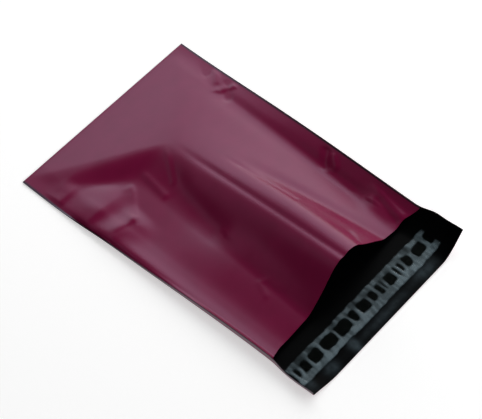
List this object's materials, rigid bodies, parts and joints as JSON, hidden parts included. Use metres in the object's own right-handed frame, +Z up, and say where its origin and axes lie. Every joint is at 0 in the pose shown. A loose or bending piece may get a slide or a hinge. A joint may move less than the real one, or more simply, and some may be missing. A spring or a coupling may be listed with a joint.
{
  "type": "poly mailer bag",
  "caption": "Flat polythene mailing bag, burgundy outside and black inside, lying open with a puffed front, a black lip and an adhesive band under a clear liner.",
  "frame": {"origin": "centre of the bag's outline on the surface it lies on", "axes": "+X across the bag, +Y from the closed end to the lip, +Z up from the back panel to the front panel"},
  "size_m": [0.1651, 0.262, 0.0306],
  "materials": {
    "burgundy_film": "satin-gloss co-extruded polythene film, burgundy outside and black inside",
    "adhesive": "smooth wet-looking hot-melt adhesive",
    "clear_liner": "thin clear siliconised film, slightly wrinkled"
  },
  "bodies": {
    "root": {"mailer_film": "burgundy_film", "adhesive_strip": "adhesive", "release_liner": "clear_liner"}
  },
  "joints": []
}
